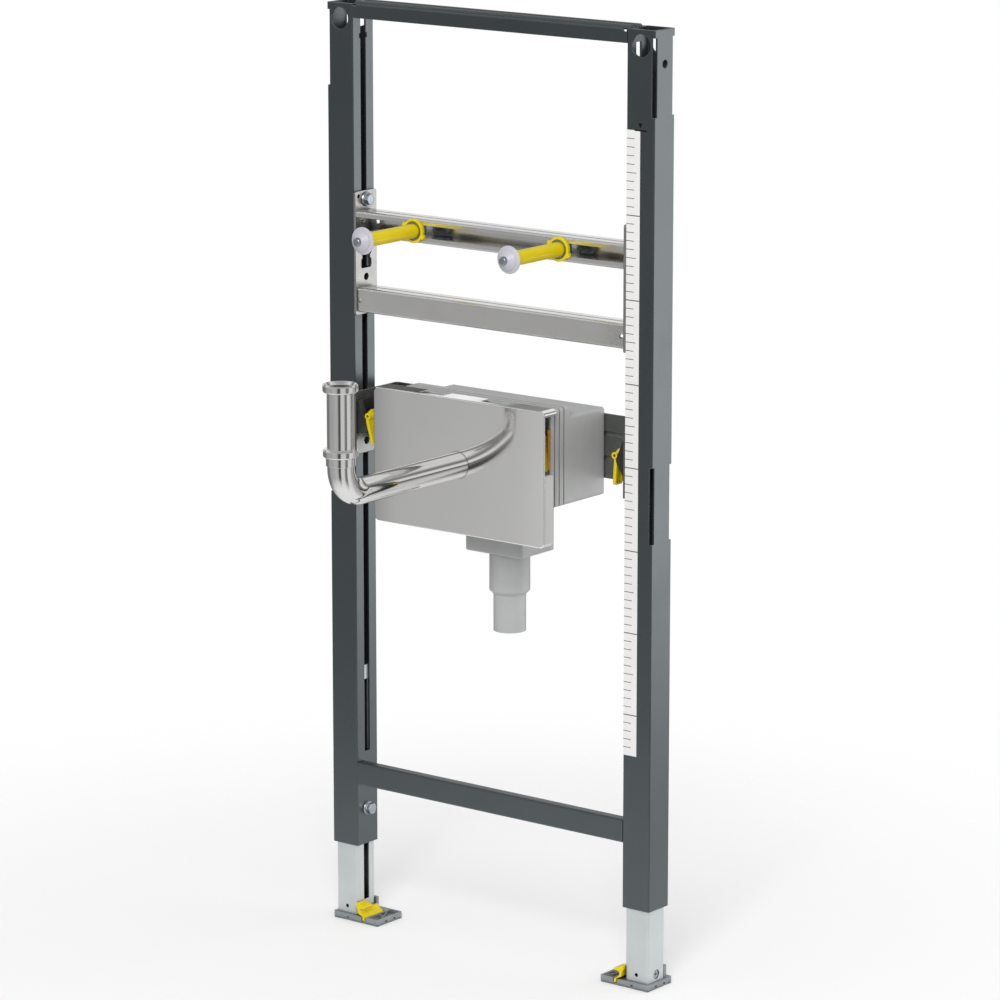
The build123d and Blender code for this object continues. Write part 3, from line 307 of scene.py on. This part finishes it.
# Leg bolts: zinc-plated hexagon flange bolts, cold headed with a chamfered head and a rolled thread.
# Each goes through the post's inner face and clamps the leg.
shank_radius = 0.0040
shank_pitch = 0.00125
shank_depth = 0.0005
flange_radius = 0.0090
head_radius = 0.0075
head_height = 0.0085
bolt_zinc = finish(
    "bolt_zinc", metallic=0.9, deep=(0.30, 0.335, 0.365), pale=(0.38, 0.415, 0.445),
    edge=(0.56, 0.59, 0.62), recess_shade=(0.10, 0.11, 0.12),
    roughness=(0.22, 0.36), clouds=120.0, grain=(1800.0, 1800.0, 1800.0),
    relief=0.00001, radius=0.0004, reach=0.004)


def even(radius):
    """Round outline."""
    return lambda turn: radius


def hexagon(radius, most=1.0):
    """Six-sided outline, cut off by a circle where a chamfer takes its corners."""
    flat = radius * math.cos(math.pi / 6)
    return lambda turn: min(most, flat / math.cos(turn % (math.pi / 3) - math.pi / 6))


def thread_turn(radius, depth, phase):
    """Outline of a thread's cross-section, deepest opposite its crest."""
    return lambda turn: radius - depth * (0.5 - 0.5 * math.cos(phase - turn))


def threaded(start, end, radius, pitch, depth):
    """Rings of a rolled thread, eight to a turn, run out at both ends."""
    steps = max(8, round(8 * (end - start) / pitch))
    rings = []
    for step in range(steps + 1):
        along = start + (end - start) * step / steps
        run_out = min(1.0, 8.0 * min(step, steps - step) / steps)
        rings.append((along, thread_turn(radius, depth * run_out, math.tau * along / pitch)))
    return rings


def add_turned(form, rings, centre, axis, segments=48, hollow=False):
    """Skin over rings of (place along the axis, outline), closed by end faces or, if hollow, on itself."""
    centre, axis = Vector(centre), Vector(axis)
    side = Vector((0, 1, 0)) if abs(axis.x) > 0.5 else Vector((1, 0, 0))
    other = axis.cross(side)
    loops = []
    for along, outline in rings:
        loop = []
        for k in range(segments):
            turn = math.tau * k / segments
            spoke = side * math.cos(turn) + other * math.sin(turn)
            loop.append(form.verts.new(centre + axis * along + spoke * outline(turn)))
        loops.append(loop)
    if hollow:
        loops.append(loops[0])
    else:
        form.faces.new(loops[0])
        form.faces.new(loops[-1])
    for first, second in zip(loops, loops[1:]):
        for k in range(segments):
            form.faces.new((first[k - 1], first[k], second[k], second[k - 1]))


def flange_bolt(side, kind, body):
    """Bolt in the place of its CAD node: thread outward, flange on the sheet, chamfered head inward."""
    node = side + kind
    low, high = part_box(node)
    inward = Vector((-1.0 if high.x > 0 else 1.0, 0, 0))
    head_end, tail_end = (low.x, high.x) if high.x > 0 else (high.x, low.x)
    middle = (low + high) / 2
    bearing = abs(head_end - tail_end) - head_height
    shank = threaded(-bearing, 0.0, shank_radius, shank_pitch, shank_depth)
    flange = [(0.0, even(0.0088)), (0.0002, even(flange_radius)), (0.0010, even(flange_radius)),
              (0.0014, even(0.0087)), (0.0025, even(0.0078))]
    head = [(0.0026, hexagon(head_radius)), (0.0076, hexagon(head_radius)),
            (0.0081, hexagon(head_radius, 0.0070)), (head_height, even(0.0062))]
    dish = [(head_height, even(0.0050)), (0.0082, even(0.0046)), (0.0082, even(0.0005))]
    form = bmesh.new()
    add_turned(form, shank + flange + head + dish,
               (tail_end + inward.x * bearing, middle.y, middle.z), inward)
    bolt = piece(node + "_turned", mesh_of(node, form, 28.0), bolt_zinc, body)
    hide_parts(node)


for side in ("left", "right"):
    flange_bolt(side, "_leg_bolt", "frame")

# Foot plates: die-cast soles with a ribbed pocket, grey and slightly gritty from the die. The leg
# stands in the plate's socket, and the yellow clip locks it there.
cast_grey = finish(
    "cast_grey", metallic=0.25, deep=(0.26, 0.285, 0.30), pale=(0.33, 0.355, 0.365),
    edge=(0.44, 0.46, 0.47), recess_shade=(0.10, 0.11, 0.115),
    roughness=(0.42, 0.56), clouds=45.0, grain=(1100.0, 1100.0, 1100.0),
    relief=0.00010, radius=0.0008)
dress(cast_grey, "left_foot_plate", "right_foot_plate")

# Corner pads under each plate: short feet cast in one with it, flush with its outline, on which the
# sole sits firm on a rough floor.
pad_side = 0.0075
pad_height = 0.0024
pad_root = 0.0004
pad_lift = 0.0002
pad_inset = 0.0003
pad_corner = 0.0018
for side in ("left", "right"):
    low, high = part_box(side + "_foot_plate")
    pads = bmesh.new()
    for x in (low.x, high.x - pad_side):
        for y in (low.y, high.y - pad_side):
            add_block(pads, (x + pad_inset, y + pad_inset, pad_lift),
                      (x + pad_side - pad_inset, y + pad_side - pad_inset, pad_height + pad_root))
    upright = [edge for edge in pads.edges if abs(edge.verts[0].co.z - edge.verts[1].co.z) > pad_height / 2]
    bmesh.ops.bevel(pads, geom=upright, offset=pad_corner, segments=4, affect="EDGES")
    piece(side + "_foot_pads", mesh_of(side + "_foot_pads", pads), cast_grey, side + "_leg")

# Foot screws: zinc-plated round heads with a cross recess, sunk in the hole of each leg's outer wall,
# with a collar behind the wall. They hold the leg to its plate.
collar_depth = 0.0015
collar_radius = 0.0080
screw_radius = 0.0059


def cross(radius, waist):
    """Four-armed recess of a cross driver."""
    return lambda turn: waist + (radius - waist) * abs(math.cos(2.0 * turn)) ** 8


for side in ("left", "right"):
    node = side + "_foot_screw"
    low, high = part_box(node)
    outward = 1.0 if high.x > 0 else -1.0
    middle = (low + high) / 2
    collar_x = (low.x if outward > 0 else high.x) + outward * collar_depth
    collar = [(-collar_depth, even(collar_radius)), (0.0, even(collar_radius))]
    head = [(0.0001, even(screw_radius)), (0.0006, even(screw_radius)), (0.0009, even(0.0056)),
            (0.0010, even(0.0050))]
    driver = [(0.0010, cross(0.0036, 0.0011)), (-0.0004, cross(0.0022, 0.0008)),
              (-0.0006, even(0.0002))]
    form = bmesh.new()
    add_turned(form, collar + head + driver, (collar_x, middle.y, middle.z), (outward, 0, 0), 96)
    screw = piece(node + "_turned", mesh_of(node, form, 30.0), bolt_zinc, side + "_leg")
    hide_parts(node)

# Yellow mouldings: foot clips, ring clips, sleeves and clamp levers, injection moulded in one yellow
# plastic with a soft gloss, and snapped or pushed into place.
yellow_plastic = finish(
    "yellow_plastic", metallic=0.0, deep=(0.84, 0.65, 0.002), pale=(0.89, 0.71, 0.004),
    edge=(0.92, 0.78, 0.03), recess_shade=(0.42, 0.30, 0.006),
    roughness=(0.28, 0.36), clouds=30.0, grain=(1600.0, 1600.0, 1600.0),
    relief=0.00002, radius=0.0008, reach=0.006)
yellow_plastic.node_tree.nodes["Principled BSDF"].inputs["Specular IOR Level"].default_value = 0.25
dress(yellow_plastic, "left_foot_clip", "right_foot_clip", "left_ring_clip", "right_ring_clip",
      "left_sleeve", "right_sleeve", "left_clamp_lever", "right_clamp_lever")

# Carrier plates and their bolts: galvanised sheet, punched, each held in the post's slot by a flange
# bolt of the same kind as in the legs.
galvanised = finish(
    "galvanised_sheet", metallic=0.85, deep=(0.32, 0.32, 0.315), pale=(0.38, 0.38, 0.375),
    edge=(0.72, 0.72, 0.71), recess_shade=(0.07, 0.07, 0.07),
    roughness=(0.24, 0.36), clouds=40.0, grain=(700.0, 700.0, 700.0),
    relief=0.00001, radius=0.0008)
dress(galvanised, "left_carrier_plate", "right_carrier_plate")
for side in ("left", "right"):
    flange_bolt(side, "_carrier_bolt", "basin_carrier")

# Rails: galvanised strip, roll formed into channels between the carrier plates. Rolling has polished
# them and left faint lines along them, and their bends are coloured much darker.
rail_steel = finish(
    "rolled_rail", metallic=0.92, deep=(0.76, 0.755, 0.745), pale=(0.81, 0.805, 0.795),
    edge=(0.16, 0.16, 0.155), recess_shade=(0.14, 0.14, 0.13),
    roughness=(0.14, 0.18), clouds=18.0, grain=(25.0, 1500.0, 1500.0),
    relief=0.00001, radius=0.0009)
dress(rail_steel, "upper_rail", "lower_rail")

# Basin studs: rods with a rolled thread over their whole length, zinc plated, each with a slide nut in
# the rail and a washer in front of it.
stud_radius = 0.0050
stud_pitch = 0.0015
stud_depth = 0.0009
stud_point = 0.0030
stud_core = 0.0038
stud_taper = 0.0012
dress(bolt_zinc, "left_stud_nut", "right_stud_nut", "left_stud_washer", "right_stud_washer")
for side in ("left", "right"):
    node = side + "_stud"
    low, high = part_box(node)
    middle = (low + high) / 2
    length = high.y - low.y
    front_end = [(0.0, even(stud_point)), (0.0, even(stud_core))]
    rear_end = [(length, even(stud_core)), (length, even(stud_point))]
    thread = threaded(stud_taper, length - stud_taper, stud_radius, stud_pitch, stud_depth)
    form = bmesh.new()
    add_turned(form, front_end + thread + rear_end, (middle.x, low.y, middle.z), (0, 1, 0), 24)
    rod = piece(node + "_threaded", mesh_of(node, form, 50.0), bolt_zinc, "basin_carrier")
    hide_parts(node)

# Basin caps: pale turned bushes at the sleeves' ends, with a thin rim and a sloping face. They are
# moulded in one piece and pushed onto the studs.
pale_plastic = finish(
    "pale_plastic", metallic=0.0, deep=(0.57, 0.56, 0.62), pale=(0.61, 0.60, 0.66),
    edge=(0.68, 0.67, 0.72), recess_shade=(0.34, 0.33, 0.37),
    roughness=(0.34, 0.42), clouds=30.0, grain=(1600.0, 1600.0, 1600.0),
    relief=0.00002, radius=0.0006, reach=0.006)
dress(pale_plastic, "left_cap", "right_cap")

# Trap bracket: galvanised sheet with pressed grooves, bent back along the posts at both ends. Painted
# shade darkens it along its bends and in the grooves.
bracket_steel = finish(
    "pressed_bracket", metallic=0.88, deep=(0.21, 0.215, 0.21), pale=(0.26, 0.265, 0.26),
    edge=(0.03, 0.03, 0.03), recess_shade=(0.01, 0.01, 0.01),
    roughness=(0.18, 0.28), clouds=22.0, grain=(30.0, 1300.0, 1300.0),
    relief=0.00001, radius=0.0012, reach=0.010)
dress(bracket_steel, "trap_bracket")

# Clamp blocks: black mouldings that slide on the posts' slots and carry the yellow levers. They hold
# the bracket at the height where it is set.
black_plastic = finish(
    "black_plastic", metallic=0.0, deep=(0.012, 0.012, 0.012), pale=(0.020, 0.020, 0.020),
    edge=(0.040, 0.040, 0.040), recess_shade=(0.004, 0.004, 0.004),
    roughness=(0.38, 0.50), clouds=40.0, grain=(1400.0, 1400.0, 1400.0),
    relief=0.00004, radius=0.0008)
dress(black_plastic, "left_clamp_block", "right_clamp_block")

# Trap box, collar and outlet: light grey polypropylene mouldings with a fine matt grain, pushed and
# snapped together.
grey_plastic = finish(
    "grey_plastic", metallic=0.0, deep=(0.47, 0.48, 0.475), pale=(0.52, 0.53, 0.525),
    edge=(0.60, 0.61, 0.605), recess_shade=(0.14, 0.145, 0.14),
    roughness=(0.42, 0.52), clouds=25.0, grain=(1200.0, 1200.0, 1200.0),
    relief=0.00004, radius=0.0010)
dress(grey_plastic, "trap_box", "trap_collar", "outlet_body", "outlet_pipe")

# Cover clips: amber catches between the cover plate and the collar, moulded in a glossy plastic and
# pressed into place.
amber_plastic = finish(
    "amber_plastic", metallic=0.0, deep=(0.52, 0.22, 0.010), pale=(0.60, 0.27, 0.014),
    edge=(0.66, 0.32, 0.03), recess_shade=(0.26, 0.10, 0.004),
    roughness=(0.24, 0.32), clouds=60.0, grain=(1600.0, 1600.0, 1600.0),
    relief=0.00002, radius=0.0006)
dress(amber_plastic, "left_cover_clip", "right_cover_clip")

# Cover plate: pressed brass sheet, polished and chrome plated. Pressing has left its face slightly
# crowned from side to side, which shows in what it mirrors.
crown = 0.98
cover_chrome = finish(
    "cover_chrome", metallic=1.0, deep=(0.92, 0.91, 0.905), pale=(0.95, 0.94, 0.935),
    edge=(0.97, 0.96, 0.955), recess_shade=(0.22, 0.22, 0.22),
    roughness=(0.06, 0.11), clouds=9.0, grain=(40.0, 40.0, 40.0),
    relief=0.000003, radius=0.0008, reach=0.006)
tree = cover_chrome.node_tree
place = shader_node(tree, "ShaderNodeTexCoord")
across = shader_node(tree, "ShaderNodeSeparateXYZ")
square = shader_node(tree, "ShaderNodeMath", operation="MULTIPLY")
rise = shader_node(tree, "ShaderNodeMath", operation="MULTIPLY")
rise.inputs[1].default_value = -crown
bulge = shader_node(tree, "ShaderNodeBump")
bulge.inputs["Distance"].default_value = 1.0
tree.links.new(place.outputs["Object"], across.inputs["Vector"])
tree.links.new(across.outputs["X"], square.inputs[0])
tree.links.new(across.outputs["X"], square.inputs[1])
tree.links.new(square.outputs["Value"], rise.inputs[0])
tree.links.new(rise.outputs["Value"], bulge.inputs["Height"])
tree.links.new(tree.nodes["grain"].outputs["Normal"], bulge.inputs["Normal"])
tree.links.new(bulge.outputs["Normal"], tree.nodes["Principled BSDF"].inputs["Normal"])
dress(cover_chrome, "cover_plate")

# Inlet pipe, union nut, riser and top ring: drawn brass tube and turned rings, polished and chrome
# plated outside. Inside the riser a thin, nearly black sleeve is painted shade down the bore.
shade_sleeve_depth = 0.100
shade_sleeve_outside = 0.01495
shade_sleeve_inside = 0.01445
pipe_chrome = finish(
    "pipe_chrome", metallic=1.0, deep=(0.72, 0.715, 0.71), pale=(0.76, 0.755, 0.75),
    edge=(0.80, 0.795, 0.79), recess_shade=(0.16, 0.16, 0.16),
    roughness=(0.05, 0.09), clouds=18.0, grain=(60.0, 60.0, 60.0),
    relief=0.000003, radius=0.0008, reach=0.004)
dress(pipe_chrome, "inlet_pipe", "union_nut", "riser_tube", "top_ring")
# Nearly black colour of the painted shade inside the riser.
riser_bore_shade = finish(
    "riser_bore_shade", metallic=0.2, deep=(0.020, 0.019, 0.017), pale=(0.030, 0.028, 0.025),
    edge=(0.04, 0.04, 0.04), recess_shade=(0.008, 0.008, 0.008),
    roughness=(0.45, 0.60), clouds=60.0, grain=(900.0, 900.0, 900.0),
    relief=0.00003, radius=0.0004)
riser_low, riser_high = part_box("riser_tube")
riser_middle = (riser_low + riser_high) / 2
# Thin sleeve down the riser's bore that carries the painted shade.
shade_sleeve = bmesh.new()
add_turned(shade_sleeve, [(-shade_sleeve_depth, even(shade_sleeve_outside)), (-0.0012, even(shade_sleeve_outside)),
                    (-0.0006, even(0.01470)), (-0.0012, even(shade_sleeve_inside)),
                    (-shade_sleeve_depth, even(shade_sleeve_inside))],
           (riser_middle.x, riser_middle.y, riser_high.z), (0, 0, 1), 64, hollow=True)
piece("riser_shade_sleeve", mesh_of("riser_shade_sleeve", shade_sleeve), riser_bore_shade, "trap_carrier")

# Studio floor: a pale matt disc that fades into the white surround. It keeps the object's shadow, and
# for the camera, glass and polished metal it is lifted to near white.
floor_radius = 2.4
fade_start = 0.35
fade_end = 1.30
floor_form = bmesh.new()
bmesh.ops.create_circle(floor_form, cap_ends=True, segments=96, radius=floor_radius)
floor = bpy.data.objects.new("floor", mesh_of("floor", floor_form))
bpy.context.scene.collection.objects.link(floor)


def open_view(tree):
    """Mask of the rays that see the white background: camera, transmission and glossy; and the last alone."""
    rays = shader_node(tree, "ShaderNodeLightPath").outputs
    direct = shader_node(tree, "ShaderNodeMath", operation="MAXIMUM")
    shown = shader_node(tree, "ShaderNodeMath", operation="MAXIMUM")
    tree.links.new(rays["Is Camera Ray"], direct.inputs[0])
    tree.links.new(rays["Is Transmission Ray"], direct.inputs[1])
    tree.links.new(direct.outputs["Value"], shown.inputs[0])
    tree.links.new(rays["Is Glossy Ray"], shown.inputs[1])
    return shown.outputs["Value"], rays["Is Glossy Ray"]


floor_paint = bpy.data.materials.new("floor_paint")
floor_paint.use_nodes = True
tree = floor_paint.node_tree
shader = tree.nodes["Principled BSDF"]
shader.inputs["Base Color"].default_value = (0.93, 0.93, 0.93, 1.0)
shader.inputs["Roughness"].default_value = 0.9
shader.inputs["Specular IOR Level"].default_value = 0.1
shader.inputs["Emission Strength"].default_value = 0.20
in_view, _ = open_view(tree)
tree.links.new(in_view, shader.inputs["Emission Color"])
place = shader_node(tree, "ShaderNodeTexCoord")
from_middle = shader_node(tree, "ShaderNodeVectorMath", operation="LENGTH")
fade = shader_node(tree, "ShaderNodeMapRange", interpolation_type="SMOOTHSTEP")
fade.inputs["From Min"].default_value = fade_start
fade.inputs["From Max"].default_value = fade_end
clear = shader_node(tree, "ShaderNodeBsdfTransparent")
rim = shader_node(tree, "ShaderNodeMixShader")
tree.links.new(place.outputs["Object"], from_middle.inputs[0])
tree.links.new(from_middle.outputs["Value"], fade.inputs["Value"])
tree.links.new(fade.outputs["Result"], rim.inputs["Fac"])
tree.links.new(shader.outputs["BSDF"], rim.inputs[1])
tree.links.new(clear.outputs["BSDF"], rim.inputs[2])
tree.links.new(rim.outputs["Shader"], tree.nodes["Material Output"].inputs["Surface"])
floor.data.materials.append(floor_paint)

# Surround: white for the camera, even for matt surfaces, and for polished ones a studio with bright
# screens and dark gaps round the object, a dark line at eye level and a bright ceiling.
matt_level = 0.55
world = bpy.data.worlds.new("studio")
bpy.context.scene.world = world
world.use_nodes = True
tree = world.node_tree
surround = tree.nodes["Background"]


def tones(tree, value, stops):
    """Ramp of grey tones over a value from 0 to 1."""
    ramp = shader_node(tree, "ShaderNodeValToRGB")
    tree.links.new(value, ramp.inputs["Fac"])
    points = ramp.color_ramp.elements
    while len(points) < len(stops):
        points.new(0.5)
    for point, (position, grey) in zip(points, stops):
        point.position = position
        point.color = (grey, grey, grey, 1.0)
    return ramp.outputs["Color"]


place = shader_node(tree, "ShaderNodeTexCoord")
parts = shader_node(tree, "ShaderNodeSeparateXYZ")
around = shader_node(tree, "ShaderNodeTexGradient", gradient_type="RADIAL")
tree.links.new(place.outputs["Generated"], parts.inputs["Vector"])
tree.links.new(place.outputs["Generated"], around.inputs["Vector"])
screens = tones(tree, around.outputs["Fac"], (
    (0.00, 0.20), (0.05, 0.24), (0.08, 0.43), (0.20, 0.48), (0.235, 0.56), (0.295, 0.50), (0.315, 0.07),
    (0.350, 0.07), (0.370, 0.75), (0.440, 0.75), (0.465, 0.22), (0.505, 0.22), (0.525, 0.85), (0.580, 0.85),
    (0.605, 0.55), (0.700, 0.55), (0.730, 0.07), (0.850, 0.07), (0.900, 0.26), (1.00, 0.20)))
ceiling = tones(tree, parts.outputs["Z"], (
    (0.00, 0.24), (0.02, 0.05), (0.05, 0.08), (0.09, 0.80), (0.20, 0.95), (0.28, 0.80), (0.36, 0.22),
    (0.46, 0.26), (0.58, 0.88), (0.68, 0.78), (0.80, 0.45), (1.00, 0.42)))
level_line = shader_node(tree, "ShaderNodeMapRange")
level_line.inputs["From Min"].default_value = -0.22
level_line.inputs["From Max"].default_value = -0.02
tree.links.new(parts.outputs["Z"], level_line.inputs["Value"])
mirrored = mixed(tree, level_line.outputs["Result"], screens, ceiling)
in_view, mirrored_view = open_view(tree)
tree.links.new(mixed(tree, mirrored_view, (1.0, 1.0, 1.0), mirrored), surround.inputs["Color"])
level = shader_node(tree, "ShaderNodeMapRange")
level.inputs["To Min"].default_value = matt_level
tree.links.new(in_view, level.inputs["Value"])
tree.links.new(level.outputs["Result"], surround.inputs["Strength"])

# Soft boxes: one behind on the right, that lights the posts' sides, and one in front above. Both are
# flagged off the polished metal, which mirrors the surround alone.


def soft_box(name, spot, aim, width, height, watts):
    lamp = bpy.data.lights.new(name, "AREA")
    lamp.shape = "RECTANGLE"
    lamp.size = width
    lamp.size_y = height
    lamp.energy = watts
    holder = bpy.data.objects.new(name, lamp)
    holder.location = spot
    holder.rotation_euler = (Vector(aim) - Vector(spot)).to_track_quat("-Z", "Y").to_euler()
    holder.visible_camera = False
    bpy.context.scene.collection.objects.link(holder)
    return holder


flag = bpy.data.collections.new("polished_flag")
for name in ("upper_rail", "lower_rail", "cover_plate", "inlet_pipe", "union_nut", "riser_tube", "top_ring"):
    flag.objects.link(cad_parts[name])
for shaded in flag.collection_objects:
    shaded.light_linking.link_state = "EXCLUDE"
for box in (soft_box("back_soft_box", (1.9, 2.4, 0.50), (0, 0.1, 0.50), 3.0, 1.8, 26.0),
            soft_box("front_soft_box", (2.2, -3.6, 3.2), (0, 0.1, 0.6), 2.0, 2.0, 115.0)):
    box.light_linking.receiver_collection = flag

# Camera: at the photograph's height and angle, to the right of the object and looking down on it.
looking_down = 12.455
turned_left = 38.009
camera_lens = bpy.data.cameras.new("photo_camera")
camera_lens.lens = 168.9
camera_lens.sensor_width = 36.0
camera_lens.clip_end = 40.0
camera = bpy.data.objects.new("photo_camera", camera_lens)
camera.location = (3.41416, -4.23629, 1.79248)
camera.rotation_euler = (math.radians(90.0 - looking_down), 0.0, math.radians(turned_left))
bpy.context.scene.collection.objects.link(camera)
bpy.context.scene.camera = camera
bpy.context.scene.view_settings.view_transform = "Standard"
